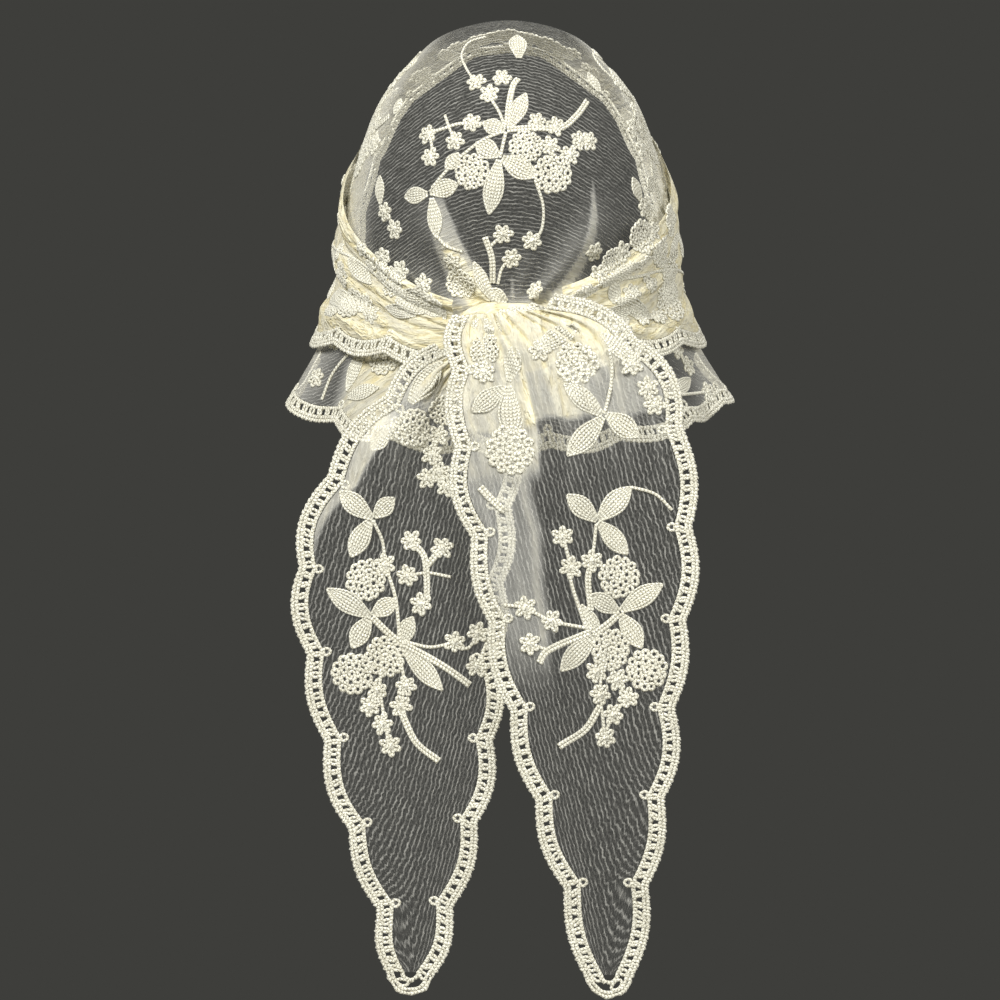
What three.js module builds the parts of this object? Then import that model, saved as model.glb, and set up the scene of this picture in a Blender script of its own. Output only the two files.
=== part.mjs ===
// A lace headscarf as it is worn: a sheer three-cornered scarf over the head, its two long corners
// drawn back round the sides, tied in a knot at the nape, and hanging down the back as two tails.
// The hood is open below and at the face. Millimetres, +Z up, +Y the way that the wearer looks.
// The origin is where the top of the head touches the inside of the crown.
import * as THREE from "three";

// Cloth and trim.
const netWall = 1.2;
const laceWall = 1.8;
const laceWidth = 9.5; // across the ladder trim, rail to rail
const laceRail = 2.4; // each of its two rails
const scallopDepth = 4.5;
const scallopPitch = 42;
const seam = 0.35; // clear space between the net's edge and the trim sewn to it

// The hood, section by section from the top of the crown to the hem at the nape.
const hoodSections = [
  { depth: 0, side: 0, back: 0, front: 0 },
  { depth: 3, side: 21, back: 24, front: 24 },
  { depth: 10, side: 39, back: 45, front: 44 },
  { depth: 21, side: 51.5, back: 61, front: 58 },
  { depth: 43, side: 69, back: 78, front: 74 },
  { depth: 66, side: 79, back: 87, front: 82 },
  { depth: 94, side: 87, back: 90, front: 84 },
  { depth: 121, side: 90, back: 84, front: 82 },
  { depth: 149, side: 93, back: 74, front: 80 },
  { depth: 177, side: 104, back: 71, front: 82 },
  { depth: 205, side: 118, back: 76, front: 88 },
  { depth: 240, side: 132, back: 84, front: 94 },
];
// How far down the sections the hood's edge lies, by the angle from the middle of the back.
const hoodRim = [
  { angle: 0, row: 10.7 },
  { angle: 30, row: 10.55 },
  { angle: 60, row: 10.15 },
  { angle: 85, row: 9.85 },
  { angle: 99, row: 9.2 },
  { angle: 105, row: 7.9 },
  { angle: 109, row: 5.7 },
  { angle: 116, row: 4.1 },
  { angle: 128, row: 3 },
  { angle: 150, row: 1.95 },
  { angle: 180, row: 1.45 },
];
const hemRuffles = 9;
const hemRuffleHeight = 5;
const ruffleStart = 8.6; // the section row where the ruffles begin
const browEnds = 118; // the angles where the two stretches of bare hem trim end
const napeEnds = 99;

// Folds of the crown that run into the knot. Lean is the way that each goes up from the knot,
// clear of the vertical, and spread is its half-width, both in degrees.
const crownFolds = [
  { lean: -64, height: 4, spread: 9, length: 62 },
  { lean: -38, height: 6, spread: 8, length: 74 },
  { lean: -12, height: 2.5, spread: 8, length: 40 },
  { lean: 16, height: 2.5, spread: 8, length: 44 },
  { lean: 41, height: 6, spread: 8, length: 76 },
  { lean: 66, height: 4, spread: 9, length: 60 },
];
const crownFoldRow = 8.8; // the section row that the folds run to
const rowHeight = 27;
const backRadius = 85;

// Each side tie: a fan of pleats from the temple round to the knot, lying over the hood.
const tieStations = [
  { upperAngle: 103, upperRow: 4.5, lowerAngle: 110.5, lowerRow: 4.85, standOff: 1.8 },
  { upperAngle: 98, upperRow: 4.9, lowerAngle: 109, lowerRow: 6.4, standOff: 2.8 },
  { upperAngle: 92, upperRow: 5.5, lowerAngle: 105, lowerRow: 7.9, standOff: 4.2 },
  { upperAngle: 82, upperRow: 6.3, lowerAngle: 91, lowerRow: 8.6, standOff: 5.2 },
  { upperAngle: 66, upperRow: 7.1, lowerAngle: 66, lowerRow: 8.75, standOff: 6 },
  { upperAngle: 42, upperRow: 7.95, lowerAngle: 41, lowerRow: 8.95, standOff: 9 },
  { upperAngle: 24, upperRow: 8.5, lowerAngle: 23, lowerRow: 9.15, standOff: 15 },
  { upperAngle: 13.6, upperRow: 8.75, lowerAngle: 13.6, lowerRow: 9.3, standOff: 23 },
];
const rightTieLift = 0.6; // rows that the right tie's upper edge stands higher
const tiePleats = 2.5;
const tiePleatHeight = 1.6;

// The knot: a bundle of cloth with a waist where one end passes over the other.
const knotCentre = new THREE.Vector3(0, -93, -179);
const knotRadii = new THREE.Vector3(29, 15, 17.5);
const knotBluntness = 0.6; // 1 is an ellipsoid, less is squarer at the two ends
const knotFolds = 5;
const knotFoldDepth = 0.08;
const knotWaist = 0.1;

// The tails, station by station from the knot to the tip: where the left and right edges of the
// net run, seen from behind, how far back the cloth hangs, and the height of its folds.
const leftTail = [
  { leftX: -32, leftZ: -189, rightX: -9, rightZ: -197.5, back: 97, fold: 1 },
  { leftX: -52, leftZ: -210, rightX: -7, rightZ: -222, back: 99, fold: 3 },
  { leftX: -76, leftZ: -239, rightX: -7, rightZ: -252, back: 100, fold: 4 },
  { leftX: -95, leftZ: -275, rightX: -10, rightZ: -284, back: 101, fold: 4 },
  { leftX: -101, leftZ: -310, rightX: -13, rightZ: -316, back: 101, fold: 4 },
  { leftX: -96.5, leftZ: -345, rightX: -16, rightZ: -348, back: 100, fold: 4 },
  { leftX: -89.5, leftZ: -381, rightX: -17, rightZ: -382, back: 99, fold: 3.5 },
  { leftX: -81, leftZ: -418, rightX: -22, rightZ: -416, back: 98, fold: 3 },
  { leftX: -69, leftZ: -452, rightX: -30.5, rightZ: -450, back: 97, fold: 2 },
  { leftX: -58, leftZ: -486, rightX: -41, rightZ: -485, back: 96, fold: 1 },
  { leftX: -54.5, leftZ: -514, rightX: -49, rightZ: -514, back: 96, fold: 0 },
];
const rightTail = [
  { leftX: -20, leftZ: -168, rightX: 20, rightZ: -165, back: 106.6, fold: 1 },
  { leftX: -20, leftZ: -190, rightX: 54, rightZ: -182, back: 111, fold: 3 },
  { leftX: -19, leftZ: -220, rightX: 76, rightZ: -209, back: 114, fold: 4 },
  { leftX: -17, leftZ: -255, rightX: 84, rightZ: -249, back: 115, fold: 4 },
  { leftX: -8, leftZ: -291, rightX: 86, rightZ: -289, back: 115, fold: 4 },
  { leftX: -1, leftZ: -327, rightX: 83, rightZ: -327, back: 114, fold: 4 },
  { leftX: 8, leftZ: -364, rightX: 78, rightZ: -364, back: 113, fold: 4 },
  { leftX: 18, leftZ: -401, rightX: 75, rightZ: -401, back: 111, fold: 3.5 },
  { leftX: 29, leftZ: -438, rightX: 68.5, rightZ: -438, back: 110, fold: 2.5 },
  { leftX: 41, leftZ: -475, rightX: 62, rightZ: -475, back: 108, fold: 1.5 },
  { leftX: 50, leftZ: -514, rightX: 55.5, rightZ: -514, back: 107, fold: 0 },
];
const tailFolds = 1.5;
const tailScallops = 8;
const samplesPerScallop = 6; // every other one is a gap in the ladder
const tailColumns = 6;
const tipSamples = 6;

// Mesh steps of the larger pieces.
const hoodRows = 15;
// The angles of the hood's columns on one side, closer together where its front edge is steep.
const columnAngles = [
  0, 8, 16, 24, 32, 40, 48, 56, 64, 72, 80, 87, 93,
  99, 103, 106, 108.5, 111, 114, 118, 125, 134, 146, 162, 180,
];
const tieRows = 18;
const tieColumns = 8;

const ivory = 0xefe9d4;
const netMaterial = new THREE.MeshStandardMaterial({ color: ivory, roughness: 0.8, metalness: 0 });
const laceMaterial = new THREE.MeshStandardMaterial({ color: 0xf4efdd, roughness: 0.9, metalness: 0 });

const lerp = THREE.MathUtils.lerp;
const clamp = THREE.MathUtils.clamp;
const smoothstep = THREE.MathUtils.smoothstep;

// A smooth curve through one column of a table, at place 0 for its first row and 1 for the next.
function along(table, column, place, mirrored = 0) {
  const last = table.length - 1;
  const row = Math.min(Math.floor(clamp(place, 0, last)), last - 1);
  const f = clamp(place, 0, last) - row;
  const value = (i) => {
    if (i < 0) return mirrored ? mirrored * table[1][column] : 2 * table[0][column] - table[1][column];
    if (i > last) return 2 * table[last][column] - table[last - 1][column];
    return table[i][column];
  };
  const [a, b, c, d] = [row - 1, row, row + 1, row + 2].map(value);
  return b + 0.5 * f * (c - a + f * (2 * a - 5 * b + 4 * c - d + f * (3 * (b - c) + d - a)));
}

// The section row of the hood's edge at an angle from the middle of the back.
function rimRow(angle) {
  const a = Math.min(Math.abs(angle), 180);
  const i = Math.max(1, hoodRim.findIndex((r) => r.angle >= a));
  const [from, to] = [hoodRim[i - 1], hoodRim[i]];
  return along(hoodRim, "row", i - 1 + (a - from.angle) / (to.angle - from.angle), 1);
}

// How far the crown's folds stand out at a place on the hood.
function crownFold(angle, row) {
  const over = backRadius * THREE.MathUtils.degToRad(angle);
  const up = rowHeight * (crownFoldRow - row);
  const far = Math.hypot(over, up);
  if (up <= 0) return 0;
  const lean = THREE.MathUtils.radToDeg(Math.atan2(over, up));
  let height = 0;
  for (const fold of crownFolds) {
    const beside = (lean - fold.lean) / fold.spread;
    const reach = smoothstep(far, 0, 24) * (1 - smoothstep(far, 0.5 * fold.length, 1.3 * fold.length));
    height += fold.height * Math.exp(-beside * beside) * reach;
  }
  return height;
}

// A point of the hood's middle surface. At the pole the depths mirror and the reaches change sign.
function hoodPoint(angle, row, standOff = 0) {
  const a = THREE.MathUtils.degToRad(angle);
  const reach = along(hoodSections, Math.cos(a) > 0 ? "back" : "front", row, -1);
  const side = along(hoodSections, "side", row, -1);
  const ruffle =
    hemRuffleHeight * smoothstep(row, ruffleStart, hoodSections.length - 1) * Math.sin(hemRuffles * a + 0.6);
  const out = ruffle + crownFold(angle, row) + standOff;
  return new THREE.Vector3(
    (side + out) * Math.sin(a),
    -(reach + out) * Math.cos(a),
    netWall / 2 - along(hoodSections, "depth", row, 1),
  );
}

// A closed solid: the kept cells of a grid of points, as a wall of one thickness about them.
function wall(pointAt, rows, columns, thickness, { ring = false, pole = false, keep = () => true } = {}) {
  const across = ring ? columns : columns + 1;
  const turn = (j) => (ring ? (j + across) % across : clamp(j, 0, columns));
  const grid = [];
  for (let i = 0; i <= rows; i++) {
    grid.push([]);
    for (let j = 0; j < across; j++) grid[i].push(pointAt(i, j));
  }
  const normalAt = (i, j) => {
    if (pole && i === 0) return new THREE.Vector3(0, 0, 1);
    const down = grid[Math.min(i + 1, rows)][j].clone().sub(grid[Math.max(i - 1, 0)][j]);
    const over = grid[i][turn(j + 1)].clone().sub(grid[i][turn(j - 1)]);
    return down.cross(over).normalize();
  };
  const positions = [];
  for (const side of [0.5, -0.5])
    for (let i = 0; i <= rows; i++)
      for (let j = 0; j < across; j++)
        positions.push(...grid[i][j].clone().addScaledVector(normalAt(i, j), side * thickness));
  const index = (side, i, j) => (side * (rows + 1) + i) * across + (pole && i === 0 ? 0 : turn(j));
  const triangles = [];
  const quad = (a, b, c, d) => {
    for (const t of [[a, b, c], [a, c, d]]) if (new Set(t).size === 3) triangles.push(...t);
  };
  const kept = (i, j) =>
    i >= 0 && i < rows && (ring || (j >= 0 && j < columns)) && keep(i, ring ? (j + columns) % columns : j);
  for (let i = 0; i < rows; i++)
    for (let j = 0; j < columns; j++) {
      if (!kept(i, j)) continue;
      const corners = [[i, j], [i + 1, j], [i + 1, j + 1], [i, j + 1]];
      quad(...corners.map(([r, c]) => index(0, r, c)));
      quad(...corners.map(([r, c]) => index(1, r, c)).reverse());
      const beside = [[i, j - 1], [i + 1, j], [i, j + 1], [i - 1, j]];
      beside.forEach(([r, c], k) => {
        if (kept(r, c) || (pole && i === 0 && k === 3)) return;
        const [from, to] = [corners[k], corners[(k + 1) % 4]];
        quad(index(0, ...to), index(0, ...from), index(1, ...from), index(1, ...to));
      });
    }
  const geometry = new THREE.BufferGeometry();
  geometry.setAttribute("position", new THREE.Float32BufferAttribute(positions, 3));
  geometry.setIndex(triangles);
  return facingOut(geometry);
}

// Turns the faces round where a grid ran the other way, so that they point out of the solid.
function facingOut(geometry) {
  const p = geometry.getAttribute("position");
  const index = geometry.getIndex().array;
  const [a, b, c] = [new THREE.Vector3(), new THREE.Vector3(), new THREE.Vector3()];
  let volume = 0;
  for (let i = 0; i < index.length; i += 3) {
    a.fromBufferAttribute(p, index[i]);
    b.fromBufferAttribute(p, index[i + 1]);
    c.fromBufferAttribute(p, index[i + 2]);
    volume += a.dot(b.cross(c)) / 6;
  }
  if (volume < 0)
    for (let i = 0; i < index.length; i += 3) [index[i + 1], index[i + 2]] = [index[i + 2], index[i + 1]];
  geometry.computeVertexNormals();
  return geometry;
}

// How far the scallops stand out at each point of an edge, from the lengths run since its start.
function scallops(points) {
  let run = 0;
  const lengths = points.map((point, i) => (run += i ? point.distanceTo(points[i - 1]) : 0));
  const pitch = run / Math.max(1, Math.round(run / scallopPitch));
  return lengths.map((length) => scallopDepth * Math.abs(Math.sin((Math.PI * length) / pitch)));
}

// The trim: a strip that follows an edge, wavy on both sides, as a ladder where pierced is true.
// placeAt gives the point beside sample i of the edge at a distance outward.
function trim(placeAt, waves, pierced = false) {
  const marks = pierced ? [seam, laceRail, laceWidth - laceRail, laceWidth] : [seam, laceWidth];
  return wall((i, j) => placeAt(i, waves[i] + marks[j]), waves.length - 1, marks.length - 1, laceWall, {
    keep: (i, j) => !pierced || j !== 1 || i % 2 === 0,
  });
}

const beside = (edge) => (i, distance) => edge[i].at.clone().addScaledVector(edge[i].out, distance);

// The direction that leaves an edge at right angles to it, given one that leaves it askew.
function squareOut(points, i, askew) {
  const run = points[Math.min(i + 1, points.length - 1)].clone().sub(points[Math.max(i - 1, 0)]).normalize();
  return askew.clone().addScaledVector(run, -askew.dot(run)).normalize();
}

const hoodAngles = [...columnAngles.slice(1).reverse().map((angle) => -angle), ...columnAngles.slice(0, -1)];

function hoodNet() {
  return wall(
    (i, j) => hoodPoint(hoodAngles[j], (rimRow(hoodAngles[j]) * i) / hoodRows),
    hoodRows,
    hoodAngles.length,
    netWall,
    { ring: true, pole: true },
  );
}

// The trim along one stretch of the hood's edge, at the angles of the hood's own columns.
function hoodLace(from, to) {
  const angles = [...hoodAngles, ...hoodAngles.map((angle) => angle + 360)];
  const turned = angles
    .filter((angle) => angle >= from && angle <= to)
    .map((angle) => (angle > 180 ? angle - 360 : angle));
  const points = turned.map((angle) => hoodPoint(angle, rimRow(angle)));
  const edge = points.map((at, i) => {
    const askew = at.clone().sub(hoodPoint(turned[i], rimRow(turned[i]) - 0.15));
    return { at, out: squareOut(points, i, askew) };
  });
  return trim(beside(edge), scallops(points));
}

// A side tie. It lies on the hood, so its points are hood points that stand off a little. v runs
// from its upper edge at 0 to its lower at 1, and the trim goes on past 1.
function tie(hand, lift) {
  const last = tieStations.length - 1;
  const pointAt = (u, v) => {
    const place = u * last;
    const width = Math.sin(Math.min(1, 2 * u) * Math.PI * 0.5);
    const upper = along(tieStations, "upperRow", place) - lift * width;
    const row = lerp(upper, along(tieStations, "lowerRow", place), v);
    const angle = lerp(along(tieStations, "upperAngle", place), along(tieStations, "lowerAngle", place), v);
    const pleat = tiePleatHeight * width * Math.sin(2 * Math.PI * tiePleats * Math.min(v, 1));
    return hoodPoint(hand * angle, row, along(tieStations, "standOff", place) + pleat);
  };
  const lowerEdge = Array.from({ length: tieRows + 1 }, (_, i) => pointAt(i / tieRows, 1));
  const placeAt = (i, distance) => {
    const u = i / tieRows;
    const slope = lowerEdge[i].distanceTo(pointAt(u, 0.8)) / 0.2;
    return pointAt(u, 1 + distance / slope);
  };
  return {
    geometry: wall((i, j) => pointAt(i / tieRows, j / tieColumns), tieRows, tieColumns, netWall),
    lace: trim(placeAt, scallops(lowerEdge)),
  };
}

function knot() {
  const [around, down] = [22, 12];
  return bundle((u, v) => {
    const [a, b] = [2 * Math.PI * u, Math.PI * v];
    const waist = 1 - knotWaist * Math.exp(-((Math.cos(b) / 0.35) ** 2));
    const folds = 1 + knotFoldDepth * Math.sin(knotFolds * a + 3 * Math.cos(b)) * Math.sin(b);
    const swell = Math.sin(b) ** knotBluntness * waist * folds;
    return new THREE.Vector3(
      -Math.cos(b) * knotRadii.x,
      Math.cos(a) * knotRadii.y * swell,
      Math.sin(a) * knotRadii.z * swell,
    ).add(knotCentre);
  }, around, down);
}

// A closed solid of revolution's kind: rings of points from pole to pole.
function bundle(pointAt, around, down) {
  const positions = [];
  positions.push(...pointAt(0, 0), ...pointAt(0, 1));
  for (let i = 1; i < down; i++)
    for (let j = 0; j < around; j++) positions.push(...pointAt(j / around, i / down));
  const at = (i, j) => (i === 0 ? 0 : i === down ? 1 : 2 + (i - 1) * around + (j % around));
  const triangles = [];
  for (let i = 0; i < down; i++)
    for (let j = 0; j < around; j++) {
      if (i > 0) triangles.push(at(i, j), at(i + 1, j), at(i, j + 1));
      if (i < down - 1) triangles.push(at(i, j + 1), at(i + 1, j), at(i + 1, j + 1));
    }
  const geometry = new THREE.BufferGeometry();
  geometry.setAttribute("position", new THREE.Float32BufferAttribute(positions, 3));
  geometry.setIndex(triangles);
  return facingOut(geometry);
}

// A tail: its net between two scalloped edges, and the ladder trim that runs down one edge,
// round the tip and up the other.
function tail(stations, phase) {
  const last = stations.length - 1;
  const rows = tailScallops * samplesPerScallop;
  const base = (u, v) => {
    const place = u * last;
    const value = (column) => along(stations, column, place);
    const fold = value("fold") * Math.sin(2 * Math.PI * (tailFolds * v + phase)) * Math.sin(Math.PI * v);
    return new THREE.Vector3(
      lerp(value("leftX"), value("rightX"), v),
      -value("back") - fold,
      lerp(value("leftZ"), value("rightZ"), v),
    );
  };
  const edgeAt = (v) => {
    const points = Array.from({ length: rows + 1 }, (_, i) => base(i / rows, v));
    return points.map((at, i) => {
      const askew = at.clone().sub(base(i / rows, 1 - v));
      return { at, out: squareOut(points, i, askew) };
    });
  };
  const [left, right] = [edgeAt(0), edgeAt(1)];
  const wave = (i) => scallopDepth * Math.abs(Math.sin((Math.PI * i) / samplesPerScallop));
  const geometry = wall((i, j) => {
    const v = j / tailColumns;
    const stretch = wave(i) * (2 * v - 1);
    const point = base(i / rows, v);
    const out = stretch < 0 ? left[i].out : right[i].out;
    return point.addScaledVector(out, Math.abs(stretch));
  }, rows, tailColumns, netWall);

  const [endLeft, endRight] = [left[rows].at, right[rows].at];
  const middle = endLeft.clone().add(endRight).multiplyScalar(0.5);
  const reach = endRight.distanceTo(endLeft) / 2;
  const tip = Array.from({ length: tipSamples - 1 }, (_, k) => {
    const turn = (Math.PI * (k + 1)) / tipSamples;
    const out = new THREE.Vector3(-Math.cos(turn), 0, -Math.sin(turn));
    return { at: middle.clone().addScaledVector(out, reach), out };
  });
  const loop = [...left, ...tip, ...right.reverse()];
  const waves = loop.map((_, i) => {
    if (i <= rows) return wave(i);
    return i < rows + tipSamples ? 0 : wave(i - tipSamples);
  });
  return { geometry, lace: trim(beside(loop), waves, true) };
}

const scarf = new THREE.Group();

function add(name, geometry, material) {
  const mesh = new THREE.Mesh(geometry, material);
  mesh.name = name;
  scarf.add(mesh);
}

add("hood_net", hoodNet(), netMaterial);
add("brow_lace", hoodLace(browEnds, 360 - browEnds), laceMaterial);
add("nape_lace", hoodLace(-napeEnds, napeEnds), laceMaterial);
for (const [name, hand, lift] of [["left", -1, 0], ["right", 1, rightTieLift]]) {
  const pieces = tie(hand, lift);
  add(`${name}_tie_net`, pieces.geometry, netMaterial);
  add(`${name}_tie_lace`, pieces.lace, laceMaterial);
}
add("knot", knot(), netMaterial);
for (const [name, stations, phase] of [["left", leftTail, 0.1], ["right", rightTail, 0.55]]) {
  const pieces = tail(stations, phase);
  add(`${name}_tail_net`, pieces.geometry, netMaterial);
  add(`${name}_tail_lace`, pieces.lace, laceMaterial);
}

export default scarf;
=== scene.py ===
# A lace headscarf worn as a hood: sheer crinkled ivory net, embroidered with leaves, crochet
# rosettes and star flowers, and edged with a scalloped ladder of chain stitch. Shapes are worked
# out in millimetres, with z = 0 at the top of the crown and -Y at its back, and made in metres.
import math

import bpy
import numpy as np
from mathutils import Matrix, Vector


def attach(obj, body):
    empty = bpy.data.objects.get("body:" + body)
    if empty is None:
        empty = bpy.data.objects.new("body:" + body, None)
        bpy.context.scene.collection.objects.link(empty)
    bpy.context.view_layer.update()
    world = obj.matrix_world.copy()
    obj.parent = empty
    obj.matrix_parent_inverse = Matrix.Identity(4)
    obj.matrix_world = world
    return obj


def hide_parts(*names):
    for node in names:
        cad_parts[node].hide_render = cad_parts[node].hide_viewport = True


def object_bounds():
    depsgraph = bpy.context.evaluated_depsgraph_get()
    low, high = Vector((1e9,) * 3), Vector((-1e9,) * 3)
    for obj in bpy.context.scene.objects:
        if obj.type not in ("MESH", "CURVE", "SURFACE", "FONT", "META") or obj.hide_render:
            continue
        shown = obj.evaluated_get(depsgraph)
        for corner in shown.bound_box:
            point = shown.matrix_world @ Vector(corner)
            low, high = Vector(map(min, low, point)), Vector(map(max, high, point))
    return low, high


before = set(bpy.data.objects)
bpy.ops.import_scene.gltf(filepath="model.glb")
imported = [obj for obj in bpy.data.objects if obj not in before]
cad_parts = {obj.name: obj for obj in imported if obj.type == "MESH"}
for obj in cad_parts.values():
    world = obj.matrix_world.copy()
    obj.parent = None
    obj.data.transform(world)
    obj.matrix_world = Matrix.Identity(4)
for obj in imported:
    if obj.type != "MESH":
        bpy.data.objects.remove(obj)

cad_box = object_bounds()


# The camera. It is level with the middle of the scarf and looks at its back from about two
# metres away, as the photograph does, so the tails show a little larger than the crown.

CAMERA_DISTANCE = 1900.0
CAMERA_AIM = (-4.44, -265.0)  # across and up, where the view's centre lies
FOCAL_PIXELS = 3420.0
SENSOR_MM = 36.0
FRAME_PIXELS = 1000


def add_camera():
    data = bpy.data.cameras.new("camera")
    data.sensor_width = SENSOR_MM
    data.lens = SENSOR_MM * FOCAL_PIXELS / FRAME_PIXELS
    camera = bpy.data.objects.new("camera", data)
    camera.location = (CAMERA_AIM[0] / 1000, -CAMERA_DISTANCE / 1000, CAMERA_AIM[1] / 1000)
    camera.rotation_euler = (math.radians(90), 0, 0)
    bpy.context.scene.collection.objects.link(camera)
    bpy.context.scene.camera = camera


def pixel_of(points):
    """Where the camera sees points, across and down in pixels of the photograph."""
    scale = FOCAL_PIXELS / (CAMERA_DISTANCE + points[..., 1])
    across = FRAME_PIXELS / 2 + (points[..., 0] - CAMERA_AIM[0]) * scale
    return np.stack([across, FRAME_PIXELS / 2 - (points[..., 2] - CAMERA_AIM[1]) * scale], -1)


add_camera()


# The net of the hood. It is nylon tulle, about 0.3 mm thick, with a crinkle set into it that
# stands up as fine wavy ridges. It drapes from the crown to a ruffled hem, with soft folds that
# the knot pulls up from the nape.

# Sections of the hood, row by row from the crown down: how far down each lies, and its reach.
HOOD = {
    "depth": (0, 3, 10, 21, 43, 66, 94, 121, 149, 177, 205, 240),
    "side": (0, 21, 39, 51.5, 69, 79, 87, 90, 93, 104, 118, 132),
    "back": (0, 24, 45, 61, 78, 87, 90, 84, 74, 71, 76, 84),
    "front": (0, 24, 44, 58, 74, 82, 84, 82, 80, 82, 88, 94),
}
CROWN_TOP = 0.6
# The row where the hood ends, by the angle in degrees from the middle of the back.
HOOD_RIM = {
    "angle": (0, 30, 60, 85, 99, 105, 109, 116, 128, 150, 180),
    "row": (10.7, 10.55, 10.15, 9.85, 9.2, 7.9, 5.7, 4.1, 3, 1.95, 1.45),
}
FREE_EDGES = {"brow": (110.5, 249.5), "nape": (-99, 99)}  # the angles where no tie covers the rim
# Folds of the crown that run up from the knot, with lean and spread in degrees.
CROWN_FOLDS = {
    "lean": (-64, -38, -12, 16, 41, 66),
    "height": (4, 6, 2.5, 2.5, 6, 4),
    "spread": (9, 8, 8, 8, 8, 9),
    "length": (62, 74, 40, 44, 76, 60),
}
KNOT_ROW = 8.8  # the row from which folds and tucks run up the crown
ROW_HEIGHT = 27  # mm between two rows there
BACK_RADIUS = 85  # mm from the hood's middle to its back there
HEM_RUFFLES = {"count": 9, "turned": 0.6, "height": 5, "rows": (8.6, 11)}
SCALLOP_PITCH = 42
SCALLOP_DEPTH = 4.5
SCALLOPED_FROM = 0.86  # share of the way down where the net begins to reach out to its scallops
HOOD_STEPS = (130, 230, 45)  # down, across the back, and across each half of the front
BACK_TO = 100  # the angle where the wider steps of the front begin
EDGE_STEPS = 500
# Over the crown the crinkle arches: its ridges drop by so much within about so far of the middle.
CROWN_ARCH = (45, 78)
NET_IVORY = "#EFEDE2"
LAYERED_IVORY = "#ECE5C6"
PAINTED_HOLLOW_SHADE = "#D8CCA0"  # painted shade in the hollows of crumpled layers
RIDGE_PITCH = 2.2
# The wave texture turns 20 radians a unit, and its noise wanders over about 5 mm.
BAND_SCALE = (1 / 5, 2 * math.pi / 20 / RIDGE_PITCH, 0)
SHEER = (0.0, 0.26)  # cover of the net between ridges and on them
LAYERED_COVER = 0.97
CREAMY = (0.2, 0.85)  # closeness at which layers begin to look creamy, and do so wholly
# Uneven patterns: mm along the ridges and across them, the detail and distortion of the noise,
# the range of it that counts, and what that becomes.
NET_PATTERNS = {
    "breaks": (7, 1.6, 2, 0, (0.36, 0.62), (0.15, 1)),  # how whole the ridges are
    "grain": (1.4, 0.7, 1, 0, (0.35, 0.75), (0, 0.07)),  # cover of the net's own fine threads
    "streaks": (45, 4.5, 3, 0, (0.3, 0.7), (0.7, 1.25)),  # how unevenly gathers draw in
    "crumples": (9, 4, 4, 1.2, (0.36, 0.56), (0, 1)),  # hollows of crumpled layers, with painted shade, and backs
}
# Tucks where the net lies double, in degrees from the knot and mm: the lean of a tuck's sharp
# side and how it straightens with each mm, and its width beyond, which tapers to nothing at far.
TUCKS = {
    "lean": (-32, 78, -75, 96, 4, -24, 40),
    "straightens": (0.05, -0.53, 0.22, -0.3, 0.05, -0.25, 0.3),
    "width": (-46, -18, -12, 12, 9, -52, 40),
    "near": (6, 8, 4, 4, 2, 4, 4),
    "far": (80, 90, 60, 62, 26, 54, 30),
    "cover": (0.42, 0.46, 0.3, 0.3, 0.3, 0.5, 0.4),
}
# Where else the hood's layers lie close, by angle and row, and how much they cover: both sides,
# which thin out low down, the nape above the knot, and a bunch beside it.
SIDES = {"angles": (50, 80), "rows": (1.2, 3), "thin": (8, 9.5), "thinned": 0.35, "cover": 0.5}
NAPE = {"rows": (8.1, 8.7, 8.9, 9.2), "spread": 36, "cover": 0.6}
BUNCH = {"rows": (8.8, 9.2), "angles": (26, 33, 44, 56), "cover": 0.75}
FOLD_COVER = 0.02  # for each mm that a fold of the crown stands out


def curve(values, place, mirror=0):
    """A smooth curve through values, at place 0 for the first of them and 1 for the next."""
    values = np.asarray(values, float)
    place = np.clip(place, 0, len(values) - 1)
    first = mirror * values[1] if mirror else 2 * values[0] - values[1]
    padded = np.concatenate([[first], values, [2 * values[-1] - values[-2]]])
    row = np.minimum(place.astype(int), len(values) - 2)
    f = place - row
    a, b, c, d = (padded[row + k] for k in range(4))
    return b + 0.5 * f * (c - a + f * (2 * a - 5 * b + 4 * c - d + f * (3 * (b - c) + d - a)))


def smooth(x, low, high):
    """0 below low, 1 above high, and an even rise between."""
    t = np.clip((x - low) / (high - low), 0, 1)
    return t * t * (3 - 2 * t)


def between(x, start, full, fade, end):
    """0 up to start, 1 from full to fade, and 0 again from end."""
    return smooth(x, start, full) * (1 - smooth(x, fade, end))


def hump(x, middle, spread):
    """1 at the middle, and an even fall to almost nothing at twice the spread."""
    return np.exp(-(((x - middle) / spread) ** 2))


def rim_row(angle):
    """The section row of the hood's edge at an angle from the middle of the back."""
    angles = np.asarray(HOOD_RIM["angle"], float)
    place = np.interp(np.abs(angle), angles, np.arange(len(angles)))
    return curve(HOOD_RIM["row"], place, 1)


def from_knot(angle, row):
    """How far a place on the hood is from the knot in mm, how many degrees its way there leans
    from straight up, and whether it is above."""
    over, up = BACK_RADIUS * np.radians(angle), ROW_HEIGHT * (KNOT_ROW - row)
    return np.hypot(over, up), np.degrees(np.arctan2(over, up)), up > 0


def crown_fold(angle, row):
    """How far the crown's folds stand out: a hump across each fold's lean, faded at both ends."""
    far, lean, above = from_knot(angle, row)
    height = 0
    for way, tall, spread, length in zip(*CROWN_FOLDS.values()):
        height = height + tall * hump(lean, way, spread) * between(far, 0, 24, 0.5 * length, 1.3 * length)
    return np.where(above, height, 0)


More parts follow.
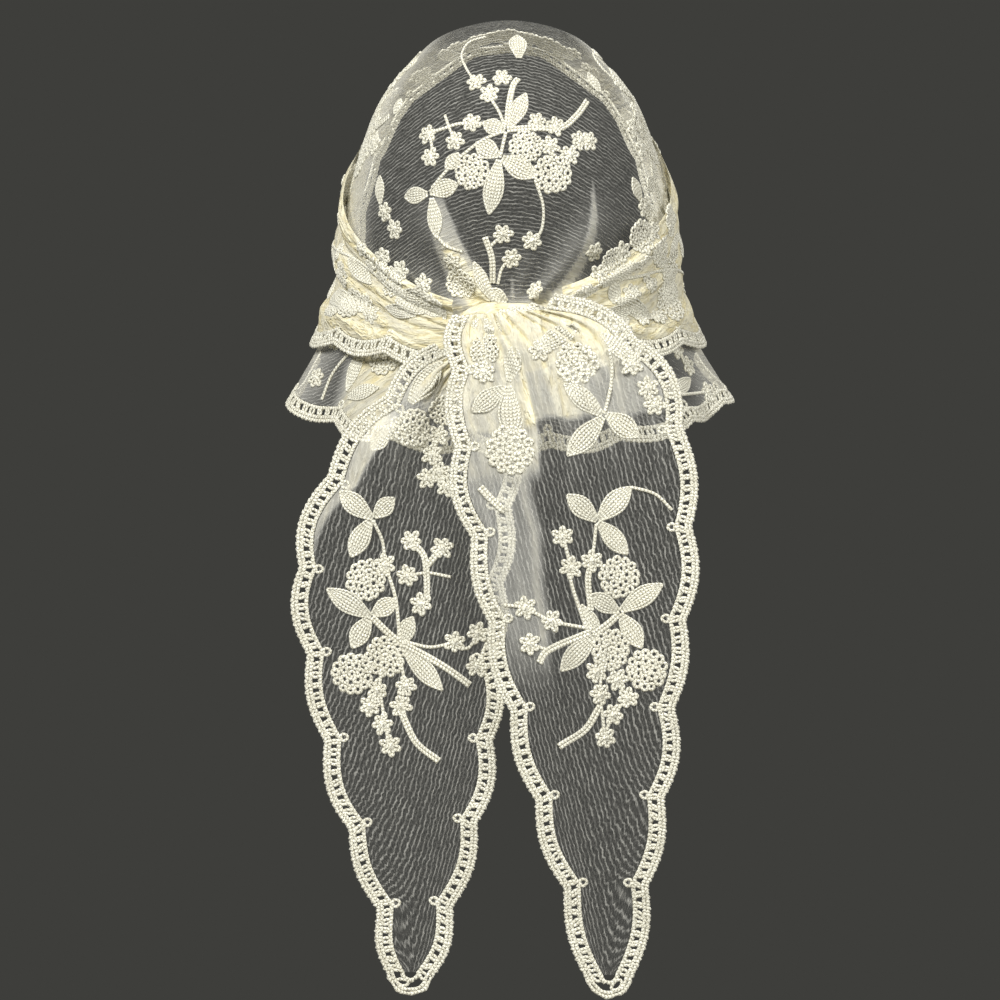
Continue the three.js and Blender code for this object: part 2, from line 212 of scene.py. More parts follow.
def tucked(angle, row):
    """How much the crown's tucks cover: each is sharp at its lean, and thins as it runs out."""
    far, lean, above = from_knot(angle, row)
    cover = 0
    for start, gain, width, near, reach, share in zip(*TUCKS.values()):
        past = (lean - start - gain * far) * np.sign(width)
        wide = np.maximum(np.abs(width) * (1 - far / reach), 0.1)
        band = smooth(past, -0.8, 0) * (1 - smooth(past / wide, 0.8, 1))
        thick = share * (1 - 0.45 * far / reach)
        cover = cover + thick * band * between(far, near, near + 8, 0.9 * reach, reach)
    return np.where(above, cover, 0)


def hood(angle, row, stand_off=0.0):
    """A point of the hood: an oval section at each row, ruffled at the hem, with the folds added."""
    a = np.radians(angle)
    depth = curve(HOOD["depth"], row, 1)
    side, back, front = (curve(HOOD[key], row, -1) for key in ("side", "back", "front"))
    count, turned, height, rows = HEM_RUFFLES.values()
    ruffle = height * smooth(row, *rows) * np.sin(count * a + turned)
    out = ruffle + crown_fold(angle, row) + stand_off
    reach = np.where(np.cos(a) > 0, back, front) + out
    return np.stack([(side + out) * np.sin(a), -reach * np.cos(a), CROWN_TOP - depth], -1)


def unit(vectors):
    return vectors / np.linalg.norm(vectors, axis=-1, keepdims=True)


def square_out(points, askew):
    """The direction that leaves an edge at right angles, given one that leaves it askew."""
    run = unit(np.gradient(points, axis=0))
    return unit(askew - np.sum(askew * run, -1, keepdims=True) * run)


def lengths(points, axis):
    """The distance run along one axis of a grid of points."""
    steps = np.linalg.norm(np.diff(points, axis=axis), axis=-1)
    return np.concatenate([np.zeros_like(np.take(steps, [0], axis)), steps], axis).cumsum(axis)


def scalloped(points):
    """How far even scallops stand out along an edge, and where they meet."""
    run = lengths(points, 0)
    pitch = run[-1] / max(1, round(run[-1] / SCALLOP_PITCH))
    wave = SCALLOP_DEPTH * np.abs(np.sin(math.pi * run / pitch))
    return wave, np.arange(pitch, run[-1] - 1, pitch)


def hood_edge(first, last):
    """The hood's edge from one angle to another: angles, points, ways out, and its scallops."""
    angle = np.linspace(first, last, EDGE_STEPS)
    turned = (angle + 180) % 360 - 180
    points = hood(turned, rim_row(turned))
    out = square_out(points, points - hood(turned, rim_row(turned) - 0.15))
    return angle, points, out, *scalloped(points)


HOOD_EDGES = {name: hood_edge(*angles) for name, angles in FREE_EDGES.items()}


def make_piece(name, points, faces, places, material, **values):
    """A mesh from points in mm. faces are groups of corner indices, places their UVs in mm."""
    corners = np.concatenate([group.ravel() for group in faces])
    used, corners = np.unique(corners, return_inverse=True)
    sides = np.concatenate([np.full(len(group), group.shape[1]) for group in faces])
    mesh = bpy.data.meshes.new(name)
    mesh.vertices.add(len(used))
    mesh.vertices.foreach_set("co", (points[used] / 1000).astype(np.float32).ravel())
    mesh.loops.add(len(corners))
    mesh.loops.foreach_set("vertex_index", corners.astype(np.int32).ravel())
    mesh.polygons.add(len(sides))
    mesh.polygons.foreach_set("loop_start", (np.cumsum(sides) - sides).astype(np.int32))
    mesh.polygons.foreach_set("use_smooth", np.ones(len(sides), bool))
    uv = np.concatenate([group.reshape(-1, 2) for group in places]).astype(np.float32)
    mesh.uv_layers.new(name="cloth").data.foreach_set("uv", uv.ravel())
    for key, value in values.items():
        attribute = mesh.attributes.new(key, "FLOAT", "POINT")
        attribute.data.foreach_set("value", value.ravel()[used].astype(np.float32))
    mesh.update(calc_edges=True)
    mesh.materials.append(material)
    piece = bpy.data.objects.new(name, mesh)
    bpy.context.scene.collection.objects.link(piece)
    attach(piece, "root")
    return piece


def cloth(name, node, points, weave, gather, ring=False, turned=False):
    """The sheet that stands for a net: a grid of points, and weave, the same grid laid flat in mm.
    gather says how closely layers lie, from 0 to 1. A ring closes on itself and starts at one
    point, and a turned sheet shows its other face."""
    rows, columns = points.shape[:2]
    index = np.arange(rows * columns).reshape(rows, columns)
    if ring:
        index[:, -1] = index[:, 0]
        index[0] = index[0, 0]

    def quads(grid):
        around = [grid[:-1, :-1], grid[1:, :-1], grid[1:, 1:], grid[:-1, 1:]]
        return np.stack(around[::-1] if turned else around, 2)

    faces, places = quads(index), quads(weave)
    first = 1 if ring else 0
    groups, spots = [faces[first:].reshape(-1, 4)], [places[first:].reshape(-1, 4, 2)]
    if ring:
        groups.insert(0, faces[0][:, :3])
        spots.insert(0, places[0][:, :3])
    piece = make_piece(name, points.reshape(-1, 3), groups, spots, NET, gather=gather)
    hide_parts(node)
    return piece


def linear(code):
    """A hex sRGB colour as linear light, by the sRGB curve, with an alpha of 1."""
    values = [int(code[k:k + 2], 16) / 255 for k in (1, 3, 5)]
    return [v / 12.92 if v <= 0.04045 else ((v + 0.055) / 1.055) ** 2.4 for v in values] + [1.0]


def add(tree, kind, inputs, **settings):
    """Adds a node with its settings and inputs. An input is a number, a colour, a socket, or a node
    whose first output feeds it. A range node reads its inputs 1 to 2 and gives 3 to 4, or 0 to 1."""
    node = tree.nodes.new("ShaderNode" + kind)
    for key, value in settings.items():
        setattr(node, key, value)
    for key, value in inputs.items():
        if isinstance(value, bpy.types.Node):
            value = value.outputs[0]
        if isinstance(value, bpy.types.NodeSocket):
            tree.links.new(value, node.inputs[key])
        else:
            node.inputs[key].default_value = value
    return node


def finished(name, finish):
    """A material with one shader, whose inputs are what finish(tree) works out."""
    material = bpy.data.materials.new(name)
    material.use_nodes = True
    tree = material.node_tree
    tree.nodes.clear()
    shader = add(tree, "BsdfPrincipled", finish(tree))
    add(tree, "OutputMaterial", {"Surface": shader})
    return material


def crinkled_net(tree):
    """Nylon tulle: see-through, dull, with ridges that catch the light. U runs along the ridges.
    Where layers lie close they hide what is behind, and show cream with painted shade in hollows."""
    weave = add(tree, "UVMap", {}, uv_map="cloth")
    noise, level = {}, {}
    for key, (along, across, detail, warp, counts, becomes) in NET_PATTERNS.items():
        at = add(tree, "VectorMath", {0: weave, 1: (1 / along, 1 / across, 0)}, operation="MULTIPLY")
        noise[key] = add(tree, "TexNoise", {"Vector": at, "Scale": 1, "Detail": detail, "Distortion": warp})
        low, high, least, most = counts + becomes
        level[key] = add(tree, "MapRange", {0: noise[key], 1: low, 2: high, 3: least, 4: most})
    band_at = add(tree, "VectorMath", {0: weave, 1: BAND_SCALE}, operation="MULTIPLY")
    wander = {"Scale": 1, "Distortion": 4.2, "Detail": 2, "Detail Scale": 1.2}
    bands = add(tree, "TexWave", {"Vector": band_at} | wander, wave_type="BANDS", bands_direction="Y")
    crest = add(tree, "MapRange", {0: bands.outputs["Fac"], 1: 0.62})
    ridge = add(tree, "Math", {0: crest, 1: level["breaks"]}, operation="MULTIPLY")
    ridges = add(tree, "MapRange", {0: ridge, 3: SHEER[0], 4: SHEER[1]})
    sheer = add(tree, "Math", {0: ridges, 1: level["grain"]}, operation="ADD")
    gather = add(tree, "Attribute", {}, attribute_name="gather").outputs["Fac"]
    layers = add(tree, "Math", {0: gather, 1: level["streaks"]}, operation="MULTIPLY", use_clamp=True)
    cover = add(tree, "MapRange", {0: layers, 3: sheer, 4: LAYERED_COVER})
    # Painted shade: where the crumple noise is low, in the hollows, layered cloth takes a darker, warmer
    # ivory.
    ivories = {6: linear(PAINTED_HOLLOW_SHADE), 7: linear(LAYERED_IVORY)}
    layered_cream_and_shade = add(tree, "Mix", {0: level["crumples"]} | ivories, data_type="RGBA").outputs[2]
    creamy = add(tree, "MapRange", {0: layers, 1: CREAMY[0], 2: CREAMY[1]})
    tint = add(tree, "Mix", {0: creamy, 6: linear(NET_IVORY), 7: layered_cream_and_shade}, data_type="RGBA").outputs[2]
    crumple = add(tree, "Math", {0: noise["crumples"], 1: layers}, operation="MULTIPLY")
    crumpled = add(tree, "Bump", {"Strength": 0.8, "Distance": 0.004, "Height": crumple})
    raised = add(tree, "Bump", {"Strength": 0.5, "Distance": 0.0005, "Height": ridge, "Normal": crumpled})
    return {
        "Base Color": tint, "Alpha": cover, "Normal": raised,
        "Roughness": 0.75, "Specular IOR Level": 0.25,
    }


NET = finished("crinkled_tulle", crinkled_net)


def hood_net():
    rows = np.linspace(0, 1, HOOD_STEPS[0])[:, None]
    back = np.linspace(-BACK_TO, BACK_TO, HOOD_STEPS[1])
    front = np.linspace(BACK_TO, 180, HOOD_STEPS[2])
    across = np.concatenate([-front[::-1], back[1:-1], front])
    angle = np.broadcast_to(across, (HOOD_STEPS[0], len(across)))
    row = rows * rim_row(angle)
    points = hood(angle, row)
    for around, _, out, wave, _ in HOOD_EDGES.values():
        for turned in (across, across + 360):
            reach = np.stack([np.interp(turned, around, way * wave, 0, 0) for way in out.T], -1)
            points = points + reach * smooth(rows, SCALLOPED_FROM, 1)[..., None]
    over = np.radians(angle) * np.hypot(points[..., 0], points[..., 1])
    drop, within = CROWN_ARCH
    weave = np.stack([over, lengths(points, 0) - drop * (1 - hump(over, 0, within))], -1)
    sides = SIDES["cover"] * smooth(np.abs(angle), *SIDES["angles"]) * smooth(row, *SIDES["rows"])
    sides = sides * (1 - SIDES["thinned"] * smooth(row, *SIDES["thin"]))
    nape = NAPE["cover"] * between(row, *NAPE["rows"]) * hump(angle, 0, NAPE["spread"])
    bunch = BUNCH["cover"] * smooth(row, *BUNCH["rows"]) * between(-angle, *BUNCH["angles"])
    gather = sides + FOLD_COVER * crown_fold(angle, row) + tucked(angle, row) + nape + bunch
    return cloth("hood_cloth", "hood_net", points, weave, np.clip(gather, 0, 0.92), ring=True)


hood_cloth = hood_net()


# The side ties. The net's two long corners are drawn back in tight gathers from the front of the
# hood, over its sides, and meet at the knot.

TIE = {
    "upper_angle": (103, 98, 92, 82, 66, 42, 24, 13.6),
    "upper_row": (4.5, 4.9, 5.5, 6.3, 7.1, 7.95, 8.5, 8.75),
    "lower_angle": (110.5, 109, 105, 91, 66, 41, 23, 13.6),
    "lower_row": (4.85, 6.4, 7.9, 8.6, 8.75, 8.95, 9.15, 9.3),
    "stand_off": (0.8, 1.2, 2.4, 4.4, 6, 9, 15, 23),
}
TIE_LIFTS = {"left": 0.35, "right": 0.6}  # rows by which the upper edges stand higher
TIE_COVER = (0.78, 0.14, 0.1)  # all over, what the knot's end adds, and what the pleats do
TIE_PLEATS = 2.5
TIE_PLEAT_HEIGHT = 1.6
TIE_GATHERS = 5.5
TIE_GATHER_HEIGHT = 0.8
TIE_CRUMPLE_HEIGHT = 2.4
TIE_STEPS = (141, 85)


def creased(turn):
    """Folds with round backs and sharp hollows, from -1 to 1."""
    return 2 * np.abs(np.sin(turn / 2)) ** 0.8 - 1


def tie(side, lift):
    """The surface of a side tie: hood points that stand off, from the front at u = 0 to the knot
    at u = 1 and from the upper edge at v = 0 to the lower at 1, in waves across v. The left side
    is -1, and the right 1."""
    last = len(TIE["upper_row"]) - 1

    def at(u, v):
        place = np.asarray(u, float) * last
        width = np.sin(np.clip(2 * u, 0, 1) * math.pi / 2)
        upper = curve(TIE["upper_row"], place) - lift * width
        row = upper + (curve(TIE["lower_row"], place) - upper) * v
        start, end = (curve(TIE[k], place) for k in ("upper_angle", "lower_angle"))
        turn = 2 * math.pi * np.clip(v, 0, 1)
        inside = between(v, 0, 0.12, 0.88, 1)
        fine = TIE_GATHER_HEIGHT * inside * creased(TIE_GATHERS * turn + 3 * np.sin(5 * u + side))
        lumps = TIE_CRUMPLE_HEIGHT * inside * np.sin(17 * u + 6 * v + side) * np.sin(11 * u - 9 * v + 2)
        bunched = (fine + lumps) * smooth(u, 0.08, 0.42)
        pleat = width * (TIE_PLEAT_HEIGHT * np.sin(TIE_PLEATS * turn) * width + bunched)
        return hood(side * (start + (end - start) * v), row, curve(TIE["stand_off"], place) + pleat)

    return at


def grid_of(surface, steps):
    """Even places over a surface, and its points there."""
    u, v = np.meshgrid(np.linspace(0, 1, steps[0]), np.linspace(0, 1, steps[1]), indexing="ij")
    return u, v, surface(u, v)


def tie_edge(surface, u):
    """A tie's lower edge: its points, the way out along the tie's own surface, and its scallops."""
    points = surface(u, np.ones_like(u))
    out = square_out(points, surface(u, np.full_like(u, 1.04)) - points)
    return points, out, *scalloped(points)


def tie_net(hand, surface):
    u, v, points = grid_of(surface, TIE_STEPS)
    _, out, wave, _ = tie_edge(surface, u[:, 0])
    points = points + (out * wave[:, None])[:, None] * smooth(v, 0.7, 1)[..., None]
    weave = np.stack([lengths(points, 0), lengths(points, 1)], -1)
    flat, towards_knot, pleated = TIE_COVER
    gather = flat + towards_knot * smooth(u, 0.4, 1) + pleated * np.sin(2 * math.pi * TIE_PLEATS * v)
    gather = np.clip(gather, 0, 0.95) * smooth(u, 0, 0.1) * (0.4 + 0.6 * smooth(u, 0.14, 0.4))
    return cloth(hand + "_tie_cloth", hand + "_tie_net", points, weave, gather, turned=hand == "left")


TIES = {"left": tie(-1, TIE_LIFTS["left"]), "right": tie(1, TIE_LIFTS["right"])}
tie_cloths = {hand: tie_net(hand, surface) for hand, surface in TIES.items()}


# The tails are the same net, hanging free below the knot. Each starts in a fan of gathers and
# ends in a narrow tip, and both its long edges swing out and in with the scallops.

TAILS = {
    "left": {
        "left_x": (-32, -52, -76, -95, -101, -96.5, -89.5, -81, -69, -58, -54.5),
        "left_z": (-189, -210, -239, -275, -310, -345, -381, -418, -452, -486, -514),
        "right_x": (-9, -7, -7, -10, -13, -16, -17, -22, -30.5, -41, -49),
        "right_z": (-197.5, -222, -252, -284, -316, -348, -382, -416, -450, -485, -514),
        "back": (97, 99, 100, 101, 101, 100, 99, 98, 97, 96, 96),
        "fold": (1, 3, 4, 4, 4, 4, 3.5, 3, 2, 1, 0),
    },
    "right": {
        "left_x": (-20, -20, -19, -17, -8, -1, 8, 18, 29, 41, 50),
        "left_z": (-168, -190, -220, -255, -291, -327, -364, -401, -438, -475, -514),
        "right_x": (20, 54, 76, 84, 86, 83, 78, 75, 68.5, 62, 55.5),
        "right_z": (-165, -182, -209, -249, -289, -327, -364, -401, -438, -475, -514),
        "back": (106.6, 111, 114, 115, 115, 114, 113, 111, 110, 108, 107),
        "fold": (1, 3, 4, 4, 4, 4, 4, 3.5, 2.5, 1.5, 0),
    },
}
TAIL_PHASES = {"left": 0.1, "right": 0.55}
GATHERED_TO = {"left": 0.07, "right": 0.13}  # how far down the gathers die away
TAIL_FOLDS = 1.5
TAIL_SCALLOPS = 8
TAIL_STEPS = (TAIL_SCALLOPS * 24 + 1, 101)
GATHER_FANS = 8.5
GATHER_HEIGHT = 2.3
RIDGE_SLANT = math.radians(14)
# Where the gathered layers begin to part down each tail and end, and how much sooner at its right.
DENSE_TO = {"left": (0.06, 0.15, 0.04), "right": (0.06, 0.19, 0)}
GATHER_COVER = (0.62, 0.33, 0.1)  # all over, in the fans' hollows, and in those below the gathers
# The right tail lies double below the knot, down to a wavy end and closest at its middle.
FLAP = {"end": 0.23, "fade": 0.008, "waves": ((10, 0.005), (27, 0.003)), "spread": 0.14}
FLAP_COVER = (0.28, 0.24)  # all over, and what its middle adds
CREASE_WIDTH = 0.03
# More layers, by shares of the tail's length and width: how far down each starts, is full, fades
# and ends, where its edge fades across, and where it has a sharp crease.
TAIL_LAYERS = {
    "left": [{"cover": 0.4, "down": (0.12, 0.16, 2, 3), "edge": (0.3, 0.33), "slant": 0.9}],
    "right": [
        {"cover": 0.2, "down": (0.2, 0.3, 0.5, 0.62), "edge": (0.18, 0.3)},
        {"cover": 0.28, "down": (0.2, 0.28, 0.5, 0.6), "flat": 0, "crease": 0.3, "slant": 0.12},
        {"cover": 0.3, "down": (0.12, 0.18, 0.28, 0.31), "edge": (0.34, 0.355), "flat": 0.6,
         "crease": 0.325},
    ],
}


def layer(u, v, cover, down, edge=(2, 3), flat=1, crease=2, slant=0):
    """How much one layer covers: flat up to its edge, and more along its crease. It lies slant
    widths further left for each length down, and an edge or a crease at 2 is past the cloth."""
    across = v + slant * u
    flat = flat + hump(across, crease, CREASE_WIDTH)
    return cover * between(u, *down) * (1 - smooth(across, *edge)) * flat


def fan_place(u, v):
    """The place across the fan of gathers: uneven widths, and a slow sway down the tail."""
    return v + 0.03 * np.sin(17 * v + 1) + 0.015 * np.sin(41 * v) + 0.04 * np.sin(9 * u + 5 * v)


def fans(u, v):
    """The fan of gathers, from -1 in its hollows to 1 on its backs."""
    return creased(2 * math.pi * GATHER_FANS * fan_place(u, v))


def tail(stations, phase, calm):
    """The surface of a tail, from the knot at u = 0 to the tip at u = 1, left to right in v: a
    straight line between its edges at each station, bent by long folds and by fans of gathers."""
    last = len(stations["back"]) - 1

    def at(u, v):
        value = {k: curve(column, np.asarray(u, float) * last) for k, column in stations.items()}
        fold = value["fold"] * np.sin(2 * math.pi * (TAIL_FOLDS * v + phase)) * np.sin(math.pi * v)
        fold = fold + GATHER_HEIGHT * fans(u, v) * np.exp(-u / calm) * between(v, 0, 0.1, 0.9, 1)
        x = value["left_x"] + (value["right_x"] - value["left_x"]) * v
        z = value["left_z"] + (value["right_z"] - value["left_z"]) * v
        return np.stack([x, -value["back"] - fold, z], -1)

    return at


def tail_edge(surface, v, u):
    """One long edge of a tail: its points, and the way out from it."""
    points = surface(u, np.full_like(u, v))
    return points, square_out(points, points - surface(u, np.full_like(u, 1 - v)))


def tail_wave(u):
    return SCALLOP_DEPTH * np.abs(np.sin(math.pi * TAIL_SCALLOPS * u))


def tail_net(hand, surface):
    u, v, points = grid_of(surface, TAIL_STEPS)
    stretch = tail_wave(u) * (2 * v - 1)
    edges = [tail_edge(surface, end, u[:, 0])[1] for end in (0, 1)]
    out = np.where(stretch[..., None] < 0, edges[0][:, None], edges[1][:, None])
    points = points + out * np.abs(stretch)[..., None]
    down, across = lengths(points, 0), points[..., 0]
    slant = RIDGE_SLANT if hand == "right" else -RIDGE_SLANT
    cos, sin = math.cos(slant), math.sin(slant)
    weave = np.stack([down * cos + across * sin, across * cos - down * sin], -1)
    near, far, sooner = DENSE_TO[hand]
    far = far - sooner * v
    flat, hollow, below = GATHER_COVER
    deep = 0.5 - 0.5 * fans(u, v)
    gather = (1 - smooth(u, near, far)) * (flat + hollow * deep)
    gather = gather + below * deep * (1 - smooth(u, far, far + 0.15))
    if hand == "right":
        end = FLAP["end"] + sum(height * np.sin(count * v) for count, height in FLAP["waves"])
        thick = FLAP_COVER[0] + FLAP_COVER[1] * hump(v, 0.5, FLAP["spread"])
        gather = gather + thick * between(u, near, far, end - FLAP["fade"], end)
    gather = gather + sum(layer(u, v, **values) for values in TAIL_LAYERS[hand])
    return cloth(hand + "_tail_cloth", hand + "_tail_net", points, weave, np.clip(gather, 0, 0.95))


tails = {hand: tail(TAILS[hand], TAIL_PHASES[hand], GATHERED_TO[hand]) for hand in TAILS}
tail_cloths = {hand: tail_net(hand, surface) for hand, surface in tails.items()}


# The knot: both ends of the scarf, bundled and crossed at the nape. Many layers lie together, so
# it is creamy and nearly opaque, with folds that run through it from side to side.

KNOT_CENTRE = np.array([0, -93, -179])
KNOT_RADII = np.array([29, 15, 17.5])
KNOT_BLUNTNESS = 0.6
KNOT_WAIST = (0.1, 0.35)  # depth, and half-width as a share of the knot's
KNOT_FOLDS = ((5, 0.09), (12, 0.05), (22, 0.03))  # count round the knot, and depth
KNOT_GATHER = 0.92
KNOT_POLE = 0.05  # radians left open about each pole
KNOT_ROUND = 16  # mm of cloth for each radian round the knot
KNOT_STEPS = (81, 181)


def knot_at(a, b):
    """A point of the knot: a blunt egg lying along X, pinched at its waist, with folds that run
    from pole to pole and twist a little on the way."""
    depth, width = KNOT_WAIST
    waist = 1 - depth * hump(np.cos(b), 0, width)
    folds = 1.0
    for count, height in KNOT_FOLDS:
        folds = folds + height * creased(count * a + 3 * np.cos(b)) * np.sin(b)
    swell = np.sin(b) ** KNOT_BLUNTNESS * waist * folds
    shape = np.stack([-np.cos(b), np.cos(a) * swell, np.sin(a) * swell], -1)
    return KNOT_CENTRE + KNOT_RADII * shape


def knot_cloth():
    along = np.linspace(KNOT_POLE, math.pi - KNOT_POLE, KNOT_STEPS[0])
    b, a = np.meshgrid(along, np.linspace(0, 2 * math.pi, KNOT_STEPS[1]), indexing="ij")
    points = knot_at(a, b)
    weave = np.stack([points[..., 0], KNOT_ROUND * a], -1)
    return cloth("knot_cloth", "knot", points, weave, np.full(a.shape, KNOT_GATHER))


knot_piece = knot_cloth()


# The ladder trim. It is worked in chain stitch with soft cotton: an inner rail on the net's edge,
# a row of rings for rungs, and a double outer rail, in scallops about 42 mm long. Where two
# scallops meet, a small ring lies in on the net.

CHAIN_PITCH = 1.9
TUBE_SIDES = 5
TUBE_FLATNESS = 0.72
RAILS = ((1.3, 1.25), (6.6, 1.3), (8.6, 1.2))  # distance out from the net's edge, and radius
RAIL_WANDER = 0.22
RUNG_PITCH = 5.2
RUNG = (1.1, 2.15, 4.0, 0.92)  # half-width, half-height, distance out, radius of thread
RUNG_SLANT = 0.4  # how far a rung leans, at most, for each mm across
CUSP_RING = (1.9, -1.2, 0.85)  # radius, distance out, radius of thread
THREAD_IVORY = "#F1EFDF"
# painted shade for the hollows where two links of chain stitch meet
THREAD_PAINTED_SHADE = "#8E8668"
turns = np.random.default_rng(7)  # makes the rungs and the motifs a little different
ROUND = np.linspace(0, 2 * math.pi, 12, endpoint=False)  # the way round a ring of thread


def stitch_steps(length, least):
    """How many points a chain of a length needs, at three to a link."""
    return max(least, int(length / (CHAIN_PITCH / 3)))


def chain(length, radius):
    """The radius of a chain stitch along its length: full in each link, narrow where they join."""
    return radius * (0.68 + 0.32 * np.abs(np.sin(math.pi * np.asarray(length) / CHAIN_PITCH)))


def threads(name, bundles):
    """Cotton threads as one mesh. A bundle is (paths, normals, radii, closed) with paths of one
    length: each gets flattened rings of sides, and a cap at each end unless it is closed."""
    turn = 2 * math.pi * np.arange(TUBE_SIDES) / TUBE_SIDES
    points, quads, quad_places, caps, cap_places, first = [], [], [], [], [], 0
    for paths, normals, radii, closed in bundles:
        count, steps = paths.shape[:2]
        ahead = np.roll(paths, -1, 1)
        run = unit(ahead - np.roll(paths, 1, 1) if closed else np.gradient(paths, axis=1))
        side = unit(np.cross(run, normals))
        up = TUBE_FLATNESS * np.cross(side, run)
        radii = np.broadcast_to(radii, (count, steps))[..., None, None]
        ring = side[:, :, None] * np.cos(turn)[:, None] + up[:, :, None] * np.sin(turn)[:, None]
        points.append((paths[:, :, None] + radii * ring).reshape(-1, 3))
        index = first + np.arange(count * steps * TUBE_SIDES).reshape(count, steps, TUBE_SIDES)
        length = np.linalg.norm(ahead - paths, axis=-1).cumsum(1)
        length = np.concatenate([np.zeros((count, 1)), length], 1)
        spans = steps if closed else steps - 1
        here, there = index[:, :spans], np.roll(index, -1, 1)[:, :spans]
        around = [here, there, np.roll(there, -1, 2), np.roll(here, -1, 2)]
        quads.append(np.stack(around, -1).reshape(-1, 4))
        near, far = (np.broadcast_to(length[:, k:spans + k, None], here.shape) for k in (0, 1))
        low = np.broadcast_to(np.arange(TUBE_SIDES) / TUBE_SIDES, here.shape)
        high = low + 1 / TUBE_SIDES
        corners = [(near, low), (far, low), (far, high), (near, high)]
        quad_places.append(np.stack([np.stack(c, -1) for c in corners], -2).reshape(-1, 4, 2))
        if not closed:
            caps += [index[:, 0], index[:, -1, ::-1]]
            cap_places += [np.zeros((count, TUBE_SIDES, 2))] * 2
        first += index.size
    faces, places = [np.concatenate(quads)], [np.concatenate(quad_places)]
    if caps:
        faces.append(np.concatenate(caps))
        places.append(np.concatenate(cap_places))
    piece = make_piece(name, np.concatenate(points), faces, places, THREAD)
    return piece


def chain_thread(tree):
    """Soft spun cotton in chain stitch: matt ivory, a little fuzzy, with painted shade where two links
    meet. U is mm along the thread, and V the share of the way round it, with 0.25 on top."""
    place = add(tree, "SeparateXYZ", {0: add(tree, "UVMap", {}, uv_map="cloth")}).outputs
    from_top = add(tree, "Math", {0: place[1], 1: 0.25}, operation="SUBTRACT")
    off_top = add(tree, "Math", {0: from_top}, operation="ABSOLUTE")
    links = add(tree, "Math", {0: place[0], 1: 1 / CHAIN_PITCH}, operation="MULTIPLY")
    vee = add(tree, "Math", {0: off_top, 1: 2.6, 2: links}, operation="MULTIPLY_ADD")
    link = add(tree, "Math", {0: vee}, operation="FRACT")
    centred = add(tree, "Math", {0: link, 1: 0.5}, operation="SUBTRACT")
    joint = add(tree, "Math", {0: centred}, operation="ABSOLUTE")
    full = add(tree, "MapRange", {0: joint, 1: 0.5, 2: 0.33}, interpolation_type="SMOOTHSTEP")
    where = add(tree, "TexCoord", {}).outputs["Object"]
    fuzz = add(tree, "TexNoise", {"Vector": where, "Scale": 1300, "Detail": 2, "Roughness": 0.6})
    blotch = add(tree, "TexNoise", {"Vector": where, "Scale": 45, "Detail": 2})
    # Painted shade darkens the thread where two links meet; the fuzz and blotches make the cotton's tone
    # uneven.
    painted_shade_and_tone = full
    for noise, high, least in ((fuzz, 0.6, 0.45), (blotch, 0.65, 0.85)):
        shade = add(tree, "MapRange", {0: noise, 1: 0.35, 2: high, 3: least})
        painted_shade_and_tone = add(tree, "Math", {0: painted_shade_and_tone, 1: shade}, operation="MULTIPLY")
    ivories = {6: linear(THREAD_PAINTED_SHADE), 7: linear(THREAD_IVORY)}
    tint = add(tree, "Mix", {0: painted_shade_and_tone} | ivories, data_type="RGBA").outputs[2]
    raised = add(tree, "Bump", {"Strength": 0.7, "Distance": 0.0004, "Height": full})
    return {
        "Base Color": tint, "Normal": raised,
        "Roughness": 0.85, "Specular IOR Level": 0.2, "Sheen Weight": 0.15,
    }


THREAD = finished("cotton_chain_stitch", chain_thread)


def facing(points, normals):
    """Normals turned, where need be, to face out of the scarf."""
    away = points * (1, 1, 0) + (0, 0, 20)
    return normals * np.where(np.sum(normals * away, -1, keepdims=True) < 0, -1, 1)


def ladder(node, edge, out, wave, cusps):
    """The trim along an edge. A place on it is a distance run and a distance out, on top of the
    wave; rails are lines of one distance out, and rungs and cusp rings are small ellipses."""
    run = lengths(edge, 0)
    normal = facing(edge, unit(np.cross(unit(np.gradient(edge, axis=0)), out)))
    table = np.concatenate([edge, out, normal, wave[:, None]], 1)

    def at(s, d):
        value = np.stack([np.interp(s, run, column) for column in table.T], -1)
        return value[..., :3] + value[..., 3:6] * (value[..., 9] + d)[..., None], value[..., 6:9]

    bundles = []
    steps = np.linspace(0, run[-1], stitch_steps(run[-1], 2))[None]
    for place, radius in RAILS:
        wander = RAIL_WANDER * (np.sin(2.1 * steps + 3 * place) + np.sin(3.3 * steps + place))
        bundles.append((*at(steps, place + wander), chain(steps, radius) * (1 + 0.5 * wander), False))
    across, tall, place, radius = RUNG
    centre = np.arange(RUNG_PITCH / 2, run[-1], RUNG_PITCH)[:, None]
    slant, shift, wide = turns.uniform(-1, 1, (3, len(centre), 1))
    rise = tall * np.sin(ROUND)
    along = centre + 0.4 * shift + across * (1 + 0.3 * wide) * np.cos(ROUND) + RUNG_SLANT * slant * rise
    bundles.append((*at(along, place + rise), radius, True))
    size, place, radius = CUSP_RING
    along = np.asarray(cusps)[:, None] + size * np.cos(ROUND)
    bundles.append((*at(along, place + size * np.sin(ROUND)), radius, True))
    piece = threads(node.replace("lace", "trim"), bundles)
    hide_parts(node)
    return piece


TIP_STEPS = 24
SCALLOP_STEPS = 48
TIE_EDGE_STEPS = 300


